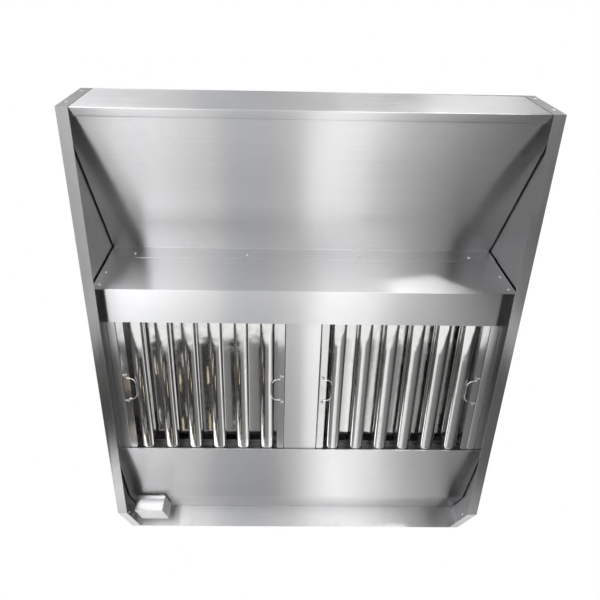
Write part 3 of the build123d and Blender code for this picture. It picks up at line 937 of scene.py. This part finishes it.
class BentWire:
    """Round wire that is run out and bent step by step in the plane Z=0."""

    SIDES = 16
    STEP_DEGREES = 9
    FEWEST_STEPS = 6
    EDGE_SHARE = 0.3

    def __init__(self, radius: float) -> None:
        """Start at the origin, heading along +Y.

        Args:
            radius: Radius of the wire.
        """
        self.bm = bmesh.new()
        self.radius = radius
        self.place = Vector((0.0, 0.0, 0.0))
        self.heading = Vector((0.0, 1.0, 0.0))
        face_on = Matrix.Rotation(math.radians(90), 4, "X")
        bmesh.ops.create_circle(self.bm, cap_ends=True, segments=self.SIDES, radius=radius,
                                matrix=face_on)
        self.ring = self.bm.edges[:]

    def run(self, distance: float) -> None:
        """Draw the wire straight on.

        Args:
            distance: Length of the run.
        """
        drawn = bmesh.ops.extrude_edge_only(self.bm, edges=self.ring)
        verts = [v for v in drawn["geom"] if isinstance(v, BMVert)]
        bmesh.ops.translate(self.bm, vec=self.heading * distance, verts=verts)
        self.ring = [e for e in drawn["geom"] if isinstance(e, BMEdge)
                     and all(v in verts for v in e.verts)]
        self.place += self.heading * distance

    def turn(self, degrees: float, radius: float) -> None:
        """Bend the wire in its plane.

        Args:
            degrees: Angle of the bend, positive to the left.
            radius: Radius of the bend at the wire's middle.
        """
        left = Vector((-self.heading.y, self.heading.x, 0.0)) * math.copysign(1.0, degrees)
        angle = math.radians(degrees)
        centre = self.place + left * radius
        verts = list(dict.fromkeys(v for e in self.ring for v in e.verts))
        steps = max(self.FEWEST_STEPS, round(abs(degrees) / self.STEP_DEGREES))
        spun = bmesh.ops.spin(self.bm, geom=verts + self.ring, cent=centre, axis=(0.0, 0.0, 1.0),
                              dvec=(0.0, 0.0, 0.0), angle=angle, steps=steps, use_merge=False,
                              use_duplicate=False)
        self.ring = [e for e in spun["geom_last"] if isinstance(e, BMEdge)]
        turned = Matrix.Rotation(angle, 3, "Z")
        self.place = centre + turned @ (self.place - centre)
        self.heading = turned @ self.heading

    def finished(self) -> BMesh:
        """Close the far end and break both ends' edges.

        Returns:
            The wire.
        """
        bmesh.ops.edgeloop_fill(self.bm, edges=self.ring)
        bmesh.ops.remove_doubles(self.bm, verts=self.bm.verts, dist=WELD / 10)
        rims = [e for e in self.bm.edges if e.calc_face_angle(0) > CUT_EDGE_ANGLE]
        bmesh.ops.bevel(self.bm, geom=rims, offset=self.radius * self.EDGE_SHARE, segments=2,
                        profile=0.5, affect="EDGES", material=-1)
        return self.bm


def hang(bm: BMesh, name: str) -> Graph:
    """Put up a studio object that shows in reflections and nowhere else.

    Args:
        bm: Its shape.
        name: Its name.

    Returns:
        The graph of its material, still empty.
    """
    made = piece_from(bm, name)
    cloth = bpy.data.materials.new(name)
    made.data.materials.append(cloth)
    made.visible_camera = False
    made.visible_diffuse = False
    made.visible_shadow = False
    return Graph.of(cloth)


@dataclass(frozen=True)
class Card:
    """A flat card that only reflections see, its two shades at its left and right edges."""

    name: str
    spread: Pair
    reach: Pair
    shades: Pair
    tint: Colour = (1.0, 1.0, 1.0)
    rise: Pair = (-1.95, -1.95)

    def build(self) -> None:
        """Put up the card."""
        bm = bmesh.new()
        (left, right), (near, far), (low, high) = self.spread, self.reach, self.rise
        corners = ((left, near, low), (right, near, high), (right, far, high), (left, far, low))
        bm.faces.new([bm.verts.new(corner) for corner in corners])
        graph = hang(bm, self.name)
        strength = self.shades[0]
        if right > left:
            here = graph.add("ShaderNodeTexCoord").outputs["Object"]
            x = graph.add("ShaderNodeSeparateXYZ", links={0: here}).outputs[0]
            strength = graph.remap(x, left, right, *self.shades)
        glow = graph.add("ShaderNodeEmission", links={0: (*self.tint, 1.0), 1: strength})
        graph.add("ShaderNodeOutputMaterial", links={0: glow.outputs[0]})


@dataclass(frozen=True)
class Tent:
    """A curved cloth around the hood, with bands of shade across its width.

    It follows an ellipse around an axis along X, from its start to its stop in degrees. Each
    band has its X divided by its distance from the axis, its brightness and its warmth.
    """

    name: str
    start: float
    stop: float
    bands: tuple[tuple[float, float, float], ...]
    middle: Pair = (-0.1, -0.45)
    reach: Pair = (3.2, 1.62)
    half: float = 3.6
    widest: float = 1.5
    steps: int = 40
    warm_red: float = 0.04
    warm_blue: float = -0.06

    def build(self) -> None:
        """Hang the cloth."""
        bm = bmesh.new()
        turns = [math.radians(self.start + (self.stop - self.start) * step / self.steps)
                 for step in range(self.steps + 1)]
        rows = []
        for x in (-self.half, self.half):
            rows.append([bm.verts.new((x, self.middle[0] + self.reach[0] * math.cos(turn),
                                       self.middle[1] + self.reach[1] * math.sin(turn)))
                         for turn in turns])
        for step in range(self.steps):
            bm.faces.new((rows[0][step], rows[0][step + 1], rows[1][step + 1], rows[1][step]))
        graph = hang(bm, self.name)
        here = graph.add("ShaderNodeTexCoord").outputs["Object"]
        x = graph.add("ShaderNodeSeparateXYZ", links={0: here}).outputs[0]
        links = {0: here, 1: (0, 1, 1), 2: (0, *(-middle for middle in self.middle))}
        flat = graph.add("ShaderNodeVectorMath", operation="MULTIPLY_ADD", links=links).outputs[0]
        away = graph.add("ShaderNodeVectorMath", operation="LENGTH", links={0: flat})
        slant = graph.math("DIVIDE", x, away.outputs["Value"])
        links = {0: slant, 1: -self.widest, 2: self.widest}
        share = graph.add("ShaderNodeMapRange", links=links).outputs[0]
        ramp = graph.add("ShaderNodeValToRGB", links={0: share})
        self.shade(ramp.color_ramp.elements)
        glow = graph.add("ShaderNodeEmission", links={0: ramp.outputs[0], 1: 1.0})
        graph.add("ShaderNodeOutputMaterial", links={0: glow.outputs[0]})

    def shade(self, stops: ColorRampElements) -> None:
        """Write the bands to a colour ramp.

        Args:
            stops: The ramp's two stops, to which the rest are added.
        """
        shares = [(slant + self.widest) / (2 * self.widest) for slant, _, _ in self.bands]
        stops[0].position, stops[1].position = shares[0], shares[-1]
        for share in shares[1:-1]:
            stops.new(share)
        for stop, (_, value, warmth) in zip(stops, self.bands):
            red = value * (1 + self.warm_red * warmth)
            stop.color = (red, value, value * (1 + self.warm_blue * warmth), 1.0)


@dataclass
class Studio:
    """Floor, background, light and camera, with what the steel mirrors.

    A panel card has its edges in X and its shades there. A spot has its place in X and Y, its
    brightness and its warmth.
    """

    floor_level: float = -2.1
    floor_half: float = 9.0
    floor_colour: Colour = (0.82, 0.82, 0.82)
    floor_roughness: float = 0.7
    world_light: float = 0.7
    camera_place: Place = (-0.0772, -0.9048, -1.0973)
    camera_right: Place = (0.9999, -0.0153, 0.0013)
    camera_down: Place = (0.0117, 0.7041, -0.7100)
    sensor: float = 36.0
    focal_share: float = 350.7 / 600
    middle: Pair = (281.4 / 600, 299.2 / 600)
    light_place: Place = (1.3, -2.4, 0.33)
    light_target: Place = (0.3, -0.25, -0.33)
    light_size: Pair = (0.65, 0.12)
    radiance: float = 30.0
    tents: tuple[Tent, ...] = (
        Tent("lower cloth", -242.0, -46.0, (
            (-1.0, 0.0, 0.0), (-0.86, 0.6, 0.5), (-0.76, 2.4, 0.0), (-0.6, 2.25, -0.3),
            (-0.44, 1.75, 0.3), (-0.3, 1.45, 0.4), (-0.27, 1.0, -0.8), (-0.1, 0.9, -0.5),
            (0.02, 1.1, 0.5), (0.12, 1.4, 0.3), (0.16, 1.95, 0.0), (0.38, 1.8, 0.2),
            (0.52, 0.9, 0.0), (0.68, 0.42, 0.4), (0.82, 0.08, 0.0), (1.0, 0.0, 0.0),
        )),
        Tent("rear cloth", -46.0, -28.0, (
            (-1.0, 0.0, 0.0), (-0.8, 1.5, 0.0), (-0.4, 1.7, 0.0), (-0.27, 0.9, -0.5),
            (0.0, 1.0, 0.0), (0.3, 1.3, 0.0), (0.45, 0.9, 0.0), (0.6, 1.5, 0.0),
            (0.85, 1.5, 0.0), (1.0, 0.0, 0.0),
        )),
        Tent("upper cloth", -285.0, -242.0, (
            (-1.0, 0.6, 0.0), (-0.5, 0.45, 0.0), (-0.2, 0.5, 0.0), (0.1, 0.4, 0.0),
            (0.35, 0.12, 0.0), (0.6, 0.7, 0.0), (1.0, 1.5, 0.0),
        )),
    )
    cards: tuple[Card, ...] = (
        Card("white strip", (-1.8, 2.2), (-0.42, -0.16), (1.1, 1.1)),
        Card("dark corner", (-2.2, -0.42), (-0.16, 0.55), (0.14, 0.03)),
        Card("grey strip", (-0.42, 0.12), (-0.16, 0.55), (0.22, 0.3)),
        Card("pale strip", (0.12, 0.62), (-0.16, 0.62), (1.2, 0.8)),
        Card("dull strip", (0.62, 2.2), (-0.16, 0.7), (0.3, 0.03)),
        Card("right front strip", (0.85, 1.6), (-1.0, -0.42), (0.9, 0.3)),
        Card("left screen", (-2.3, -2.3), (-1.8, 1.5), (0.04, 0.04), rise=(-2.05, -0.8)),
        Card("right screen", (2.3, 2.3), (-1.8, 1.5), (0.04, 0.04), rise=(-2.05, -0.8)),
    )
    panel_cards: tuple[tuple[str, Pair, Pair], ...] = (
        ("far left panel strip", (-2.2, -1.0), (0.05, 0.4)),
        ("left panel strip", (-1.0, -0.05), (0.4, 0.12)),
        ("middle panel strip", (-0.05, 0.3), (0.35, 1.5)),
        ("right panel strip", (0.3, 0.75), (1.5, 0.7)),
        ("far right panel strip", (0.75, 2.2), (0.4, 0.0)),
    )
    panel_reach: Pair = (0.95, 1.9)
    panel_rise: Pair = (-1.75, -1.75)
    spots: tuple[tuple[float, float, float, float], ...] = (
        (-1.4, 0.08, 1.2, 1.0), (-1.25, 0.0, 1.1, 0.0), (-1.05, 0.1, 1.3, 1.0),
        (-0.88, 0.02, 1.0, 0.3), (-0.66, 0.12, 1.2, 1.0), (-1.32, 0.38, 0.8, 1.0),
        (-1.02, 0.42, 0.9, 0.6), (-0.82, 0.36, 0.7, 0.0), (-0.6, 0.44, 0.9, 1.0),
    )
    spot_half: Pair = (0.035, 0.05)
    spot_rise: Pair = (-1.94, -1.94)
    warm_loss: Colour = (0.0, 0.16, 0.42)

    def build(self) -> None:
        """Set up everything around the hood."""
        self.camera()
        self.floor()
        self.background()
        self.softbox()
        for thing in (*self.tents, *self.cards):
            thing.build()
        for name, spread, shades in self.panel_cards:
            Card(name, spread, self.panel_reach, shades, rise=self.panel_rise).build()
        wide, deep = self.spot_half
        for number, (x, y, value, warmth) in enumerate(self.spots):
            tint = tuple(1.0 - loss * warmth for loss in self.warm_loss)
            Card(f"spot {number}", (x - wide, x + wide), (y - deep, y + deep), (value, value),
                 tint, self.spot_rise).build()

    def camera(self) -> None:
        """Put the camera where the photograph was taken from."""
        data = bpy.data.cameras.new("camera")
        data.sensor_width = self.sensor
        data.lens = self.focal_share * self.sensor
        data.shift_x = 0.5 - self.middle[0]
        data.shift_y = self.middle[1] - 0.5
        made = bpy.data.objects.new("camera", data)
        bpy.context.scene.collection.objects.link(made)
        right = Vector(self.camera_right).normalized()
        up = -Vector(self.camera_down)
        up = (up - right * up.dot(right)).normalized()
        turned = Matrix((right, up, right.cross(up))).transposed()
        made.matrix_world = Matrix.Translation(self.camera_place) @ turned.to_4x4()
        bpy.context.scene.camera = made

    def floor(self) -> None:
        """Lay the pale floor."""
        bm = bmesh.new()
        level = Matrix.Translation((0.0, 0.0, self.floor_level))
        bmesh.ops.create_grid(bm, x_segments=2, y_segments=2, size=self.floor_half, matrix=level)
        made = piece_from(bm, "floor")
        paint = bpy.data.materials.new("pale floor")
        paint.use_nodes = True
        surface = paint.node_tree.nodes["Principled BSDF"]
        surface.inputs["Base Color"].default_value = (*self.floor_colour, 1.0)
        surface.inputs["Roughness"].default_value = self.floor_roughness
        made.data.materials.append(paint)

    def softbox(self) -> None:
        """Hang the one light, facing its target."""
        lamp = bpy.data.lights.new("right_softbox", "AREA")
        lamp.shape = "RECTANGLE"
        lamp.size, lamp.size_y = self.light_size
        lamp.energy = self.radiance * math.pi * lamp.size * lamp.size_y
        made = bpy.data.objects.new("right_softbox", lamp)
        bpy.context.scene.collection.objects.link(made)
        aim = Vector(self.light_target) - Vector(self.light_place)
        facing = aim.to_track_quat("-Z", "Z").to_matrix().to_4x4()
        made.matrix_world = Matrix.Translation(self.light_place) @ facing

    def background(self) -> None:
        """Make the world white, also where metal mirrors it."""
        world = bpy.data.worlds.new("white room")
        bpy.context.scene.world = world
        graph = Graph.of(world)
        path = graph.add("ShaderNodeLightPath").outputs
        seen = graph.math("MAXIMUM", path["Is Camera Ray"], path["Is Glossy Ray"])
        seen = graph.math("MAXIMUM", seen, path["Is Transmission Ray"])
        links = {0: (1.0, 1.0, 1.0, 1.0), 1: graph.remap(seen, 0.0, 1.0, self.world_light, 1.0)}
        sky = graph.add("ShaderNodeBackground", links=links)
        graph.add("ShaderNodeOutputWorld", links={0: sky.outputs[0]})


def hood_groups() -> list[SheetGroup | CarriedNodes | BaffleFilter]:
    """List the hood's sub-assemblies.

    Returns:
        The sub-assemblies in the order in which they are built.
    """
    wide, deep, slope = Grain.WIDE, Grain.DEEP, Grain.DOWN_SLOPE
    # The end panels take the sheet colour that is darkened as painted shade.
    ends = SheetGroup("hood", Finish.END_SHEET_PAINTED_SHADE, {"left_end_panel": deep, "right_end_panel": deep})
    shell = SheetGroup("hood", Finish.SHEET, {
        "fascia": wide, "top_panel": wide, "back_panel": wide, "ceiling_panel": wide,
        "plenum_front": wide, "plenum_left_side": deep, "plenum_right_side": deep,
        "grease_trough": wide, "centre_blank": wide, "left_blank": slope, "right_blank": slope,
        "cup_left_rail": deep, "cup_right_rail": deep,
    })
    cup = SheetGroup("cup", Finish.SHEET, {"grease_cup": wide})
    carried = CarriedNodes({
        Finish.INSIDE: ["upper_left_channel", "upper_right_channel", "lower_left_channel",
                        "lower_right_channel", "ceiling_stiffener", "drain_ferrule"],
        Finish.ZINC: ["front_stiffener", "rear_stiffener", "exhaust_collar", "collar_ring",
                      "hanger_front_left", "hanger_front_right", "hanger_rear_left",
                      "hanger_rear_right"],
        Finish.BOLT: ["corner_fasteners", "foot_bolts", "foot_nuts", "ceiling_screws",
                      "plenum_screws"],
    })
    filters = [BaffleFilter(name, filter_corner(name)) for name in ("left_filter", "right_filter")]
    return [ends, shell, cup, carried, *filters]


def filter_corner(name: str) -> Vector:
    """Upper left corner of a filter's face, found from its frame's box.

    Args:
        name: Name of the filter.

    Returns:
        The corner in the frame of the model.
    """
    low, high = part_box(f"{name}_left_rail")
    return Vector((low.x, low.y, high.z - FILTER_DEPTH * math.cos(SLOPE)))


def main() -> None:
    """Build the dressed hood and the studio around it."""
    logging.basicConfig(level=logging.INFO, format="%(name)s: %(message)s")
    bpy.context.scene.view_settings.view_transform = "Standard"
    Studio().build()
    finisher = Finisher()
    for group in hood_groups():
        group.build(finisher)


if __name__ == "__main__":
    main()
